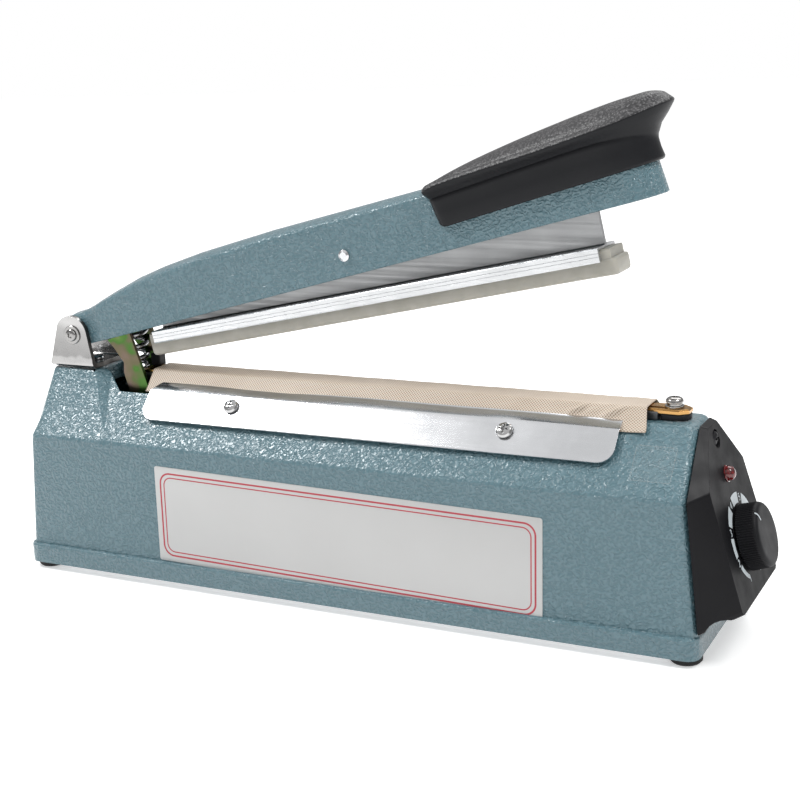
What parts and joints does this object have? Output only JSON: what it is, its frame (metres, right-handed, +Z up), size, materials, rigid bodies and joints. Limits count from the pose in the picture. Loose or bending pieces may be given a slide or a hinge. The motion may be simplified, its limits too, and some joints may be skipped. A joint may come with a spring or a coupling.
{
  "type": "impulse sealer",
  "caption": "Hand impulse sealer: cast housing, hinged arm with rocking pressure bar and grip, cloth-covered sealing bed, end panel with timer knob and lamp.",
  "frame": {"origin": "under the middle of the whole, on the plane that the feet stand on", "axes": "+Z up, +X along the sealing bed towards the timer knob, +Y to the far side"},
  "size_m": [0.3206, 0.0652, 0.1973],
  "materials": {
    "paint": "blue-grey hammertone paint on cast metal",
    "zinc": "yellow-green passivated zinc plate",
    "chrome": "bright plated",
    "steel": "bright rolled steel",
    "aluminium": "mill finish extrusion",
    "brass": "plain brass",
    "dark_screw": "blackened steel",
    "black_plastic": "black moulded plastic, fine grain",
    "silicone": "off-white silicone rubber",
    "cloth": "tan PTFE coated glass cloth, fine weave",
    "rubber": "black rubber",
    "red_lens": "dark red lamp lens",
    "board": "green circuit board",
    "relay_case": "blue relay case",
    "copper": "enamelled copper winding",
    "insulation": "white glass cloth strip"
  },
  "bodies": {
    "base": {"housing": "paint", "bottom_plate": "steel", "foot_1": "rubber", "foot_screw_1": "steel", "foot_2": "rubber", "foot_screw_2": "steel", "foot_3": "rubber", "foot_screw_3": "steel", "foot_4": "rubber", "foot_screw_4": "steel", "cord_gland": "rubber", "hinge_bracket": "chrome", "bracket_screw_1": "steel", "bracket_screw_2": "steel", "hinge_pin": "chrome", "return_spring": "chrome", "bed_bar": "steel", "bed_screw_1": "steel", "bed_screw_2": "steel", "insulating_strip": "insulation", "heating_ribbon": "steel", "ptfe_cloth": "cloth", "side_plate_near": "steel", "side_plate_far": "steel", "side_screw_1": "chrome", "side_screw_2": "chrome", "side_screw_3": "chrome", "side_screw_4": "chrome", "front_terminal_block": "black_plastic", "front_terminal_plate": "brass", "front_terminal_screw": "chrome", "rear_terminal_plate": "brass", "rear_terminal_block": "black_plastic", "end_panel": "black_plastic", "panel_screw": "dark_screw", "potentiometer": "steel", "indicator_lamp": "red_lens", "transformer_core": "steel", "transformer_winding": "copper", "transformer_strap": "steel", "timer_board": "board", "relay": "relay_case", "capacitor": "black_plastic", "microswitch": "black_plastic", "switch_bracket": "steel"},
    "arm": {"arm": "paint", "leg_bracket": "zinc", "leg_screw": "steel", "grip": "black_plastic", "grip_screw_1": "steel", "grip_screw_2": "steel", "pivot_rivet": "steel"},
    "press_bar": {"pressure_bar": "aluminium", "silicone_strip": "silicone"},
    "knob": {"timer_knob": "black_plastic", "timer_shaft": "aluminium"},
    "lever": {"switch_lever": "steel"}
  },
  "joints": [
    {"name": "arm_hinge", "type": "hinge", "parent": "base", "child": "arm", "pos_m": [-0.14131, 0, 0.1013], "axis": [0, 1, 0], "range_deg": [0, 10.7], "stiffness_Nm_per_rad": 3, "springref_deg": -25.78, "deforming": ["return_spring"]},
    {"name": "press_bar_pivot", "type": "hinge", "parent": "arm", "child": "press_bar", "pos_m": [-0.00449, 0, 0.13978], "axis": [0, 1, 0], "range_deg": [0, 0.9]},
    {"name": "timer_knob_turn", "type": "hinge", "parent": "base", "child": "knob", "pos_m": [0.14811, 0, 0.0398], "axis": [0.9583, 0, 0.2857], "range_deg": [-155, 115]},
    {"name": "switch_lever_hinge", "type": "hinge", "parent": "base", "child": "lever", "pos_m": [-0.12231, -0.0081, 0.04], "axis": [0, 1, 0], "range_deg": [-19.3, 0]}
  ],
  "couplings": [
    {"joint": "press_bar_pivot", "follows": "arm_hinge", "ratio": 0.0838},
    {"joint": "switch_lever_hinge", "follows": "arm_hinge", "ratio": -1.76}
  ]
}
